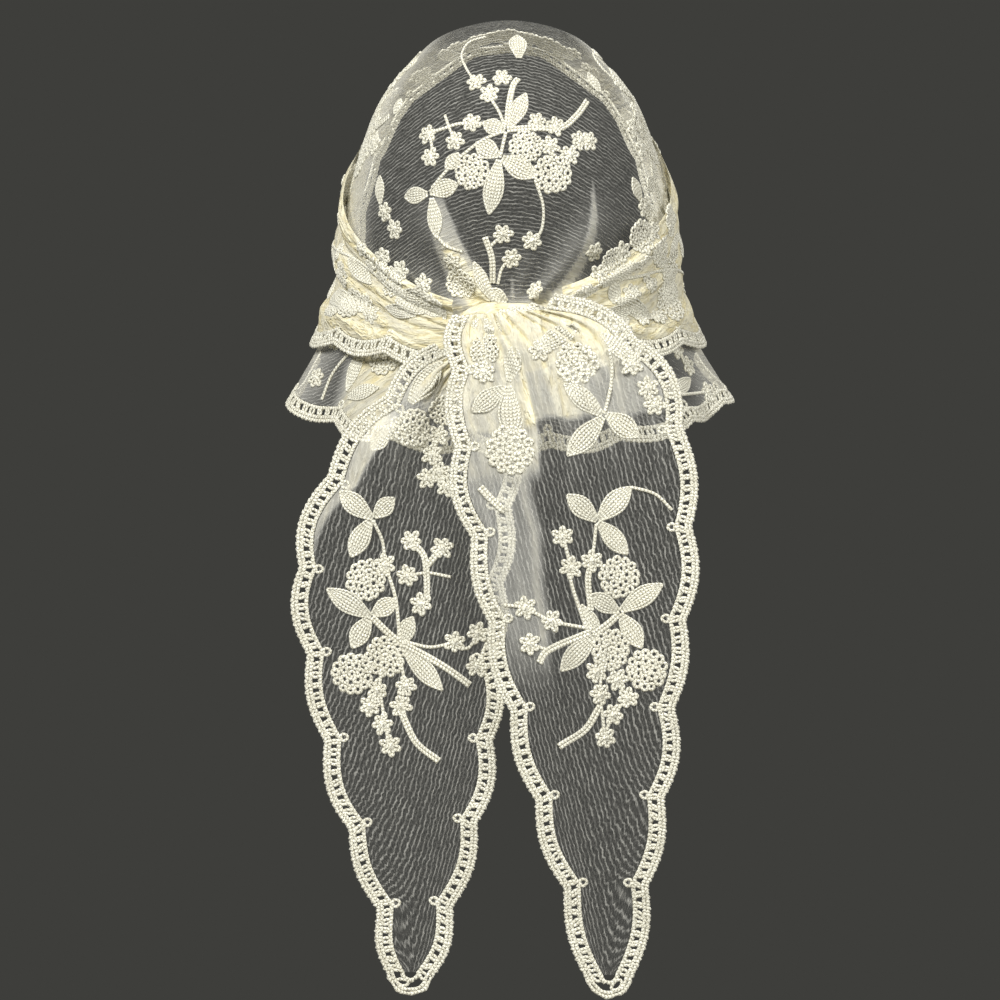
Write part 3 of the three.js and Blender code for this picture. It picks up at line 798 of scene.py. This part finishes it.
def tail_trim(node, surface):
    """The trim of a tail runs down one edge, half round the tip, and up the other edge."""
    u = np.linspace(0, 1, TAIL_SCALLOPS * SCALLOP_STEPS + 1)
    (left, left_out), (right, right_out) = (tail_edge(surface, v, u) for v in (0, 1))
    middle, reach = (left[-1] + right[-1]) / 2, np.linalg.norm(right[-1] - left[-1]) / 2
    turn = math.pi * np.arange(1, TIP_STEPS) / TIP_STEPS
    tip_out = np.stack([-np.cos(turn), 0 * turn, -np.sin(turn)], -1)
    edge = np.concatenate([left, middle + reach * tip_out, right[::-1]])
    out = np.concatenate([left_out, tip_out, right_out[::-1]])
    wave = np.concatenate([tail_wave(u), 0 * turn, tail_wave(u)[::-1]])
    run = lengths(edge, 0)
    low = np.arange(SCALLOP_STEPS, len(u) - 1, SCALLOP_STEPS)
    return ladder(node, edge, out, wave, np.concatenate([run[low], run[len(edge) - 1 - low]]))


trims = {name: ladder(name + "_lace", *edge[1:]) for name, edge in HOOD_EDGES.items()}
for hand in ("left", "right"):
    tie_lower = tie_edge(TIES[hand], np.linspace(0, 1, TIE_EDGE_STEPS))
    trims[hand + "_tie"] = ladder(hand + "_tie_lace", *tie_lower)
    trims[hand + "_tail"] = tail_trim(hand + "_tail_lace", tails[hand])


# Embroidery. Each motif is stitched on the net in the same cotton, and stands about half a
# millimetre proud on both sides: leaves filled with rows of chain stitch, rosettes of small
# crochet rings, star flowers with six looped petals, and chain stems that join them.

STEP = 0.001  # of u and v, for slopes
LEAF_ROWS = 7
LEAF_SLIM = 0.88
STEM_FULL = 1.2
FLOWER_SIZE = 12.4
PETALS = 6
ROSETTE_ROUNDS = ((7, 0.205), (13, 0.4))  # rings, and how far out, as a share of the size
ROSETTE_RINGS = (0.065, 0.075, 0.047)  # shares for the middle ring, the others, and their thread
LIFT = 0.25  # how far the middle of a thread stands off the net


def frame_on(surface, u, v):
    """The point of a surface, its slopes along u and v by small differences, and its normal."""
    point = surface(u, v)
    along = (surface(u + STEP, v) - surface(u - STEP, v)) / (2 * STEP)
    across = (surface(u, v + STEP) - surface(u, v - STEP)) / (2 * STEP)
    return point, along, across, facing(point, unit(np.cross(along, across)))


def steps_for(along, across, axes):
    """The steps of u and v that go 1 mm along each axis, by least squares on the slopes."""
    slopes = np.stack([along, across])
    return np.linalg.solve(slopes @ slopes.T, slopes @ axes)


def laid(surface, at, ahead, flat):
    """A flat drawing in mm put on a surface. Its x runs ahead from the place at, its y to the left,
    and both become steps of u and v by the slopes there."""
    point, along, across, normal = frame_on(surface, np.float64(at[0]), np.float64(at[1]))
    forward = unit(ahead - np.dot(ahead, normal) * normal)
    steps = steps_for(along, across, np.stack([forward, np.cross(normal, forward)], 1))
    place = np.asarray(at) + flat @ steps.T
    point, _, _, normal = frame_on(surface, place[..., 0], place[..., 1])
    return point + LIFT * normal, normal


def seen_on(surface, spans):
    """A way to turn pixels of the photograph into places on a surface: the nearest of a grid of
    places as the camera sees them, mended by a few Newton steps."""
    (u0, u1), (v0, v1) = spans
    grid = np.stack(np.meshgrid(np.linspace(u0, u1, 90), np.linspace(v0, v1, 90), indexing="ij"), -1)
    grid = grid.reshape(-1, 2)
    seen = pixel_of(surface(grid[:, 0], grid[:, 1]))

    def place(pixels):
        pixels = np.atleast_2d(np.asarray(pixels, float))
        at = grid[np.argmin(np.sum((pixels[:, None] - seen[None]) ** 2, -1), 1)]
        for _ in range(4):
            shown = pixel_of(surface(at[:, 0], at[:, 1]))
            nudged = [pixel_of(surface(*(at + step).T)) for step in ((STEP, 0), (0, STEP))]
            slopes = np.stack([(seen_at - shown) / STEP for seen_at in nudged], -1)
            step = np.linalg.solve(slopes, (pixels - shown)[..., None])[..., 0]
            at = np.clip(at + step, (u0, v0), (u1, v1))
        return at

    return place


def leaf(surface, base, tip, width):
    """A leaf from base to tip: rows of chain stitch fanned between two bowed sides, with a rim."""
    ends = surface(np.array([base[0], tip[0]]), np.array([base[1], tip[1]]))
    length = np.linalg.norm(ends[1] - ends[0])
    t = np.linspace(0, 1, stitch_steps(length, 12))
    half = LEAF_SLIM * width / 2 * (np.sin(math.pi * t ** 1.15) ** 0.95 + 0.2 * (1 - t) ** 3)
    rows = np.linspace(-1, 1, LEAF_ROWS)
    flat = np.stack([np.broadcast_to((t - 0.5) * length, (LEAF_ROWS, len(t))), rows[:, None] * half], -1)
    paths, normals = laid(surface, (np.asarray(base) + tip) / 2, ends[1] - ends[0], flat)
    spread = np.maximum(2 * half / (LEAF_ROWS - 1), 0.4) * 0.66
    shift = np.where(np.arange(LEAF_ROWS) % 2, CHAIN_PITCH / 2, 0)[:, None]
    radii = chain(t * length + shift, spread)
    radii[[0, -1]] = chain(t * length, 0.75 + 0 * t)
    return [(paths, normals, radii, False)]


def ring_at(centre, radius):
    """Closed rings about centres, which are an array of flat places."""
    return np.asarray(centre)[:, None] + radius * np.stack([np.cos(ROUND), np.sin(ROUND)], -1)


def rosette(surface, at, size, squash=1.0):
    """A rosette: one ring in the middle, seven about it, and thirteen about those, none quite
    round or quite in its place."""
    middle, ring, thread = (share * size for share in ROSETTE_RINGS)
    flats = [ring_at([(0, 0)], middle)]
    for count, out in ROSETTE_ROUNDS:
        turn = 2 * math.pi * (np.arange(count) + turns.random() + turns.uniform(-0.12, 0.12, count)) / count
        reach = out * size + turns.uniform(-0.35, 0.35, count)
        centre = reach[:, None] * np.stack([np.cos(turn), np.sin(turn)], -1)
        uneven = turns.uniform(0.8, 1.2, (count, 1, 2))
        flats.append(centre[:, None] + ring_at([(0, 0)], ring) * uneven)
    paths, normals = laid(surface, at, random_way(), np.concatenate(flats) * (1, squash))
    radii = thread * turns.uniform(0.85, 1.15, len(paths))[:, None]
    return [(paths, normals, radii, True)]


def random_way():
    """A direction in the plane that the view looks at squarely."""
    turn = turns.uniform(0, 2 * math.pi)
    return np.array([math.cos(turn), 0, math.sin(turn)])


def flower(surface, at, size, squash=1.0):
    """A star flower: six looped petals, each widest near its end, round a small hard centre."""
    bow = 0.125 * np.sin(ROUND) * (0.62 + 0.2 * np.sin(ROUND / 2) ** 2)
    loop = np.stack([0.07 + 0.37 * (1 - np.cos(ROUND)) / 2, bow], -1) * size
    way = 2 * math.pi * (np.arange(PETALS) + turns.uniform(-0.1, 0.1, PETALS)) / PETALS
    cos, sin = np.cos(way)[:, None], np.sin(way)[:, None]
    x, y = loop[:, 0] * turns.uniform(0.88, 1.08, (PETALS, 1)), loop[:, 1]
    flat = np.stack([cos * x - sin * y, sin * x + cos * y], -1)
    flat = np.concatenate([flat, ring_at([(0, 0)], 0.07 * size)]) * (1, squash)
    paths, normals = laid(surface, at, random_way(), flat)
    radii = np.full(paths.shape[:2], 0.08 * size)
    radii[-1] *= 1.5
    return [(paths, normals, radii, True)]


def stem(surface, places, radius, rows):
    """A chain stem through places on a surface, as one row of stitches or two side by side."""
    places = np.asarray(places, float)
    last = len(places) - 1
    t = np.linspace(0, last, 60 * last)
    at = np.stack([curve(column, t) for column in places.T], -1)
    run = lengths(surface(at[:, 0], at[:, 1]), 0)
    s = np.linspace(0, run[-1], stitch_steps(run[-1], 6))
    at = np.stack([np.interp(s, run, column) for column in at.T], -1)
    point, _, _, normal = frame_on(surface, at[:, 0], at[:, 1])
    side = unit(np.cross(np.gradient(point, axis=0), normal))
    radius = STEM_FULL * radius
    offset = (np.arange(rows) - (rows - 1) / 2)[:, None, None] * 1.5 * radius
    paths = point + LIFT * normal + offset * side
    return [(paths, np.broadcast_to(normal, paths.shape), chain(s, radius)[None], False)]


def spray(surface, place, *charts, flower_size=FLOWER_SIZE):
    """The threads of charts of motifs. place() turns a chart's pixels into places on the surface."""
    bundles = []
    for chart in charts:
        for base, tip, width in chart.get("leaves", ()):
            bundles += leaf(surface, *place([base, tip]), width)
        for centre, size in chart.get("rosettes", ()):
            bundles += rosette(surface, place([centre])[0], size)
        for centre in chart.get("flowers", ()):
            bundles += flower(surface, place([centre])[0], flower_size)
        for radius, rows, route in chart.get("stems", ()):
            bundles += stem(surface, place(route), radius, rows)
    return bundles


# Charts of the motifs, in pixels of the photograph. A leaf is its base, its tip and its width in
# mm, a rosette its centre and size in mm, a flower its centre, and a stem the radius of its
# thread in mm, its rows and its route.
LEFT_TAIL_LOW = {
    "leaves": [
        ((373, 519), (331, 490), 11), ((374, 517), (394, 498), 10), ((371, 519), (351, 557), 11),
        ((371, 617), (327, 589), 11), ((372, 615), (397, 600), 10), ((370, 617), (352, 648), 11),
        ((400, 645), (413, 617), 10), ((402, 647), (443, 690), 11),
    ],
    "rosettes": [((366, 580), 22), ((352, 674), 22), ((385, 657), 22)],
    "flowers": [
        (385, 565), (411, 541), (442, 548), (407, 576), (421, 604), (455, 642), (478, 633),
        (477, 666), (377, 690), (370, 706), (382, 724), (390, 746), (406, 686), (401, 706),
    ],
    "stems": [
        (0.9, 1, [(373, 520), (382, 540), (385, 560)]),
        (1.0, 1, [(386, 566), (396, 600), (400, 640)]),
        (0.95, 2, [(411, 541), (424, 556), (427, 580), (427, 600)]),
        (0.95, 2, [(427, 566), (442, 548)]),
        (0.9, 1, [(407, 576), (428, 573), (451, 577)]),
        (0.9, 1, [(404, 641), (430, 647), (455, 642)]),
        (0.9, 1, [(458, 647), (468, 648), (476, 638)]),
        (1.0, 2, [(404, 644), (440, 664), (470, 685)]),
        (1.0, 2, [(372, 617), (386, 631), (404, 646)]),
        (1.0, 2, [(401, 712), (416, 742), (439, 761)]),
        (0.9, 1, [(382, 668), (380, 690), (386, 730), (390, 746)]),
        (0.9, 1, [(398, 650), (404, 680), (401, 712)]),
    ],
}
RIGHT_TAIL_LOW = {
    "leaves": [
        ((597, 521), (567, 495), 11), ((598, 520), (631, 487), 12), ((597, 522), (628, 554), 11),
        ((619, 612), (589, 595), 10), ((620, 611), (663, 584), 11), ((620, 614), (642, 648), 11),
        ((580, 605), (599, 635), 8), ((596, 635), (561, 671), 11),
    ],
    "rosettes": [((619, 577), 22), ((611, 650), 22), ((647, 670), 22)],
    "flowers": [
        (592, 561), (525, 608), (552, 621), (530, 644), (563, 537), (571, 568), (596, 672),
        (600, 695), (628, 698), (613, 715), (605, 738), (617, 680),
    ],
    "stems": [
        (0.9, 1, [(631, 487), (655, 494), (672, 510)]),
        (0.9, 1, [(596, 524), (594, 545), (592, 561)]),
        (0.9, 2, [(592, 561), (588, 580), (591, 611)]),
        (1.0, 1, [(494, 605), (525, 608), (552, 621), (593, 629)]),
        (1.0, 2, [(539, 663), (549, 650), (590, 632)]),
        (0.9, 1, [(530, 644), (547, 650)]),
        (1.0, 2, [(620, 613), (608, 624), (594, 634)]),
        (0.9, 1, [(617, 682), (626, 698), (612, 716), (604, 738)]),
        (1.0, 1, [(563, 537), (569, 560), (572, 585), (586, 628)]),
        (1.0, 2, [(600, 706), (585, 730), (559, 747)]),
        (0.9, 1, [(605, 652), (600, 690), (605, 738)]),
    ],
}
CROWN = {
    "leaves": [
        ((509, 128), (526, 94), 9), ((505, 131), (483, 123), 9), ((499, 156), (476, 143), 11),
        ((502, 158), (536, 177), 12), ((499, 160), (489, 214), 11), ((428, 194), (405, 197), 9),
        ((430, 193), (458, 184), 10), ((519, 58), (517, 36), 10), ((599, 92), (588, 73), 8),
        ((432, 198), (437, 238), 8), ((508, 299), (488, 292), 8), ((381, 204), (380, 176), 8),
        ((492, 301), (474, 262), 9), ((460, 154), (446, 169), 8),
    ],
    "rosettes": [((526, 146), 18), ((553, 174), 21), ((472, 172), 19), ((461, 284), 17)],
    "flowers": [
        (452, 262), (489, 94), (476, 82), (502, 78), (472, 123), (455, 141), (428, 134), (430, 157),
        (537, 122), (556, 126), (550, 146), (570, 155), (580, 140), (589, 141), (532, 241), (503, 234),
        (512, 258), (535, 291), (385, 212), (395, 229), (594, 252),
    ],
    "stems": [
        (0.9, 1, [(505, 128), (499, 112), (489, 96)]),
        (0.7, 1, [(476, 82), (466, 68), (462, 54), (470, 42), (486, 37)]),
        (0.9, 2, [(507, 126), (509, 104), (513, 86), (518, 79)]),
        (1.0, 1, [(485, 124), (460, 124), (446, 128), (428, 134)]),
        (0.9, 1, [(430, 135), (432, 148), (430, 157)]),
        (0.8, 1, [(449, 127), (445, 115)]),
        (0.8, 1, [(449, 127), (455, 141)]),
        (0.9, 2, [(507, 130), (530, 128), (560, 128), (576, 116), (587, 101)]),
        (1.0, 1, [(506, 132), (503, 145), (500, 158)]),
        (0.9, 1, [(502, 132), (480, 142), (453, 164), (432, 188)]),
        (0.8, 1, [(535, 180), (543, 205), (542, 228), (534, 241)]),
        (0.9, 1, [(437, 236), (446, 246), (462, 252)]),
        (0.9, 2, [(485, 237), (492, 258), (493, 283)]),
        (0.9, 1, [(503, 234), (491, 246)]),
        (0.8, 1, [(512, 258), (502, 268), (498, 284)]),
        (0.8, 1, [(582, 144), (566, 152), (552, 148)]),
    ],
}
RIGHT_TAIL_HIGH = {
    "leaves": [
        ((577, 321), (528, 356), 12), ((604, 414), (562, 385), 12), ((606, 414), (639, 437), 12),
        ((603, 417), (567, 456), 12), ((507, 382), (516, 345), 11), ((503, 387), (463, 413), 11),
        ((508, 386), (512, 440), 14), ((636, 330), (655, 360), 9),
    ],
    "rosettes": [((577, 362), 23), ((510, 450), 26), ((484, 350), 15)],
    "flowers": [(648, 388), (632, 365), (655, 405), (540, 350), (484, 372)],
    "stems": [
        (1.0, 1, [(609, 349), (612, 375), (604, 414)]),
        (1.1, 2, [(480, 487), (492, 500), (504, 511)]),
    ],
}
LEFT_TAIL_HIGH = {
    "leaves": [((389, 430), (372, 450), 9), ((412, 403), (441, 362), 15)],
    "rosettes": [((412, 427), 21), ((444, 410), 16)],
    "flowers": [(432, 455), (441, 472), (438, 436), (447, 487), (428, 478)],
    "stems": [(0.9, 1, [(436, 440), (436, 462), (444, 486)])],
}
SKIRT = {
    "leaves": [((664, 395), (690, 378), 8), ((364, 346), (347, 391), 10), ((348, 397), (379, 388), 9)],
    "rosettes": [((385, 358), 20)],
    "flowers": [(336, 341), (677, 350), (316, 378), (688, 366), (708, 392)],
    "stems": [
        (0.9, 1, [(322, 400), (334, 372), (352, 350)]),
        (0.9, 1, [(664, 396), (690, 394), (708, 392)]),
    ],
}
LEFT_TIE = {
    "leaves": [((371, 313), (336, 292), 12), ((395, 300), (430, 312), 9), ((349, 258), (372, 284), 9)],
    "rosettes": [((347, 190), 18), ((352, 303), 21), ((392, 282), 17)],
    "flowers": [(341, 222), (362, 250), (384, 240), (402, 258), (424, 278), (338, 252), (430, 300)],
    "stems": [(0.9, 1, [(341, 205), (344, 232), (360, 262), (392, 290)])],
}
RIGHT_TIE = {
    "leaves": [((602, 286), (640, 262), 11), ((672, 262), (682, 232), 9), ((615, 300), (655, 318), 10)],
    "rosettes": [((640, 218), 19), ((660, 252), 18), ((668, 302), 21), ((612, 262), 15)],
    "flowers": [(622, 240), (600, 274), (651, 284), (632, 292), (676, 280), (652, 232), (584, 292)],
    "stems": [(0.9, 1, [(584, 292), (610, 280), (640, 276), (668, 262)])],
}


def scattered(surface, count, spans, squash):
    """Leaves, rosettes and flowers spread over a bunched part of the cloth. squash narrows each
    across the gathers, as bunched cloth shows it."""
    bundles = []
    columns = round(math.sqrt(2 * count))
    for k in range(count):
        cell = np.array([(k % columns + turns.uniform(0.2, 0.8)) / columns, turns.uniform(0.12, 0.88)])
        at = np.array([low + (high - low) * share for (low, high), share in zip(spans, cell)])
        kind = k % 4
        if kind == 0:
            bundles += rosette(surface, at, turns.uniform(15, 20), squash)
        elif kind == 1:
            bundles += flower(surface, at, FLOWER_SIZE, 0.8)
        else:
            _, along, across, _ = frame_on(surface, at[0], at[1])
            reach = turns.uniform(16, 24)
            way = np.array([math.cos(kind * 2.2 + k), 0.5 * math.sin(kind * 2.2 + k)])
            way = way * reach / 2 / np.array([np.linalg.norm(along), np.linalg.norm(across)])
            bundles += leaf(surface, at - way, at + way, turns.uniform(7, 10))
    return bundles


def put_at(surface, at, centre, size, turn):
    """A way to put a chart elsewhere on the cloth: its pixels, counted from centre and turned,
    become steps on the surface from the place at, size mm to a pixel."""
    point, along, across, normal = frame_on(surface, np.float64(at[0]), np.float64(at[1]))
    down = unit(np.array([0, 0, -1]) + normal[2] * normal)
    right = np.cross(normal, down) * (1 if np.dot(normal, point * (1, 1, 0)) > 0 else -1)
    cos, sin = math.cos(turn), math.sin(turn)
    axes = np.stack([cos * right + sin * down, cos * down - sin * right], 1) * size
    steps = steps_for(along, across, axes)
    return lambda pixels: np.asarray(at) + (np.atleast_2d(np.asarray(pixels, float)) - centre) @ steps.T


RIM_ROOM = 0.9  # rows of bare net between a side's motifs and the hood's edge


def on_hood(chart, place):
    """The motifs of a chart that lie whole on the hood's net."""
    def fits(pixels):
        at = place(pixels)
        return np.all(at[:, 1] < rim_row(at[:, 0]) - RIM_ROOM)

    return {
        "leaves": [m for m in chart["leaves"] if fits(m[:2])],
        "rosettes": [m for m in chart["rosettes"] if fits(m[:1])],
        "flowers": [m for m in chart["flowers"] if fits([m])],
        "stems": [m for m in chart["stems"] if fits(m[2])],
    }


# Two groups that take turns along the front edge, in mm from a place a little inside it.
BORDER_GROUPS = (
    {"rosettes": [((0, -7), 12)], "flowers": [(8, -5), (-8, -5)]},
    {"leaves": [((0, -2), (-10, -8), 6), ((0, -2), (9, -9), 6)], "flowers": [(0, -10)]},
)
BORDER_ANGLES = np.arange(113, 249, 9)
BORDER_FLOWER_SIZE = 9.5


def edge_border():
    """Leaf pairs, flowers and rosettes in turn, a little inside the hood's front edge."""
    bundles = []
    for k, angle in enumerate(BORDER_ANGLES):
        turned = np.float64((angle + 180) % 360 - 180)
        place = put_at(hood, (turned, rim_row(turned) - 0.12), (0, 0), 1, 0)
        bundles += spray(hood, place, BORDER_GROUPS[k % 2], flower_size=BORDER_FLOWER_SIZE)
    return bundles


CROWN_FLOWER_SIZE = 11.4
# The spans of u and v over which motifs are spread at random.
TIE_SPANS = ((0.05, 0.97), (0, 1))
KNOT_SPANS = ((math.pi - 1, math.pi + 1.1), (0.6, 2.5))

# What each surface can show of the photograph, and where the crown's chart is put on the sides.
see_tails = {hand: seen_on(surface, ((0, 1), (0, 1))) for hand, surface in tails.items()}
see_hood = seen_on(hood, ((-100, 100), (0.3, 10.4)))
see_ties = {hand: seen_on(surface, ((0.04, 0.98), (-0.06, 1.02))) for hand, surface in TIES.items()}
on_sides = {
    "left": put_at(hood, (-86, 4.9), (510, 160), 0.44, 0.5),
    "right": put_at(hood, (84, 4.8), (510, 160), 0.44, -0.4),
}
embroideries = {
    "left_tail": spray(tails["left"], see_tails["left"], LEFT_TAIL_LOW, LEFT_TAIL_HIGH),
    "right_tail": spray(tails["right"], see_tails["right"], RIGHT_TAIL_LOW, RIGHT_TAIL_HIGH),
    "crown": spray(hood, see_hood, CROWN, flower_size=CROWN_FLOWER_SIZE),
    "skirt": spray(hood, see_hood, SKIRT),
    "left_tie": scattered(TIES["left"], 36, TIE_SPANS, 0.75)
    + spray(TIES["left"], see_ties["left"], LEFT_TIE),
    "right_tie": scattered(TIES["right"], 36, TIE_SPANS, 0.75)
    + spray(TIES["right"], see_ties["right"], RIGHT_TIE),
    "knot": scattered(knot_at, 12, KNOT_SPANS, 0.62),
    "left_side": spray(hood, on_sides["left"], on_hood(CROWN, on_sides["left"])),
    "right_side": spray(hood, on_sides["right"], on_hood(CROWN, on_sides["right"])),
    "brow": edge_border(),
}
stitched = {place: threads(place + "_embroidery", bundles) for place, bundles in embroideries.items()}


# The floor and the light: a pale paper floor below the tips, an even dark tone around, which the
# ivory net reads against, and three large soft lamps.

FLOOR_DROP = 0.2  # metres below the tips
FLOOR_RADIUS = 0.55
PAPER_GREY = "#A9A7A1"
AROUND = "#3E3E3B"
LAMP_AIM = (0, 0, -0.25)
LAMPS = {  # place and size in metres, and watts
    "key": ((-0.9, -1.4, 0.9), 0.9, 56),
    "fill": ((1.2, -1.2, 0.3), 1.2, 26),
    "back": ((0.3, 1.5, 0.8), 1.2, 32),
}


def matt_paper(tree):
    """Heavy uncoated paper: one even pale grey with no shine, so it needs no nodes of its own."""
    return {"Base Color": linear(PAPER_GREY), "Roughness": 0.9}


def floor_and_world():
    mesh = bpy.data.meshes.new("floor")
    turn = np.linspace(0, 2 * math.pi, 96, endpoint=False)
    low = cad_box[0][2] - FLOOR_DROP
    rim = [(FLOOR_RADIUS * math.cos(a), FLOOR_RADIUS * math.sin(a), low) for a in turn]
    mesh.from_pydata(rim, [], [list(range(len(rim)))])
    mesh.materials.append(finished("matt_paper", matt_paper))
    floor = bpy.data.objects.new("floor", mesh)
    bpy.context.scene.collection.objects.link(floor)
    world = bpy.data.worlds.new("world")
    world.use_nodes = True
    world.node_tree.nodes["Background"].inputs["Color"].default_value = linear(AROUND)
    bpy.context.scene.world = world
    bpy.context.scene.view_settings.view_transform = "Standard"  # so that the cream isn't greyed


def lamp(name, place, size, watts):
    data = bpy.data.lights.new(name, "AREA")
    data.shape = "DISK"
    data.size = size
    data.energy = watts
    light = bpy.data.objects.new(name, data)
    light.location = place
    x, y, z = np.array(LAMP_AIM) - place
    light.rotation_euler = (math.atan2(math.hypot(x, y), -z), 0, math.atan2(y, x) - math.pi / 2)
    bpy.context.scene.collection.objects.link(light)


floor_and_world()
for name, values in LAMPS.items():
    lamp(name, *values)
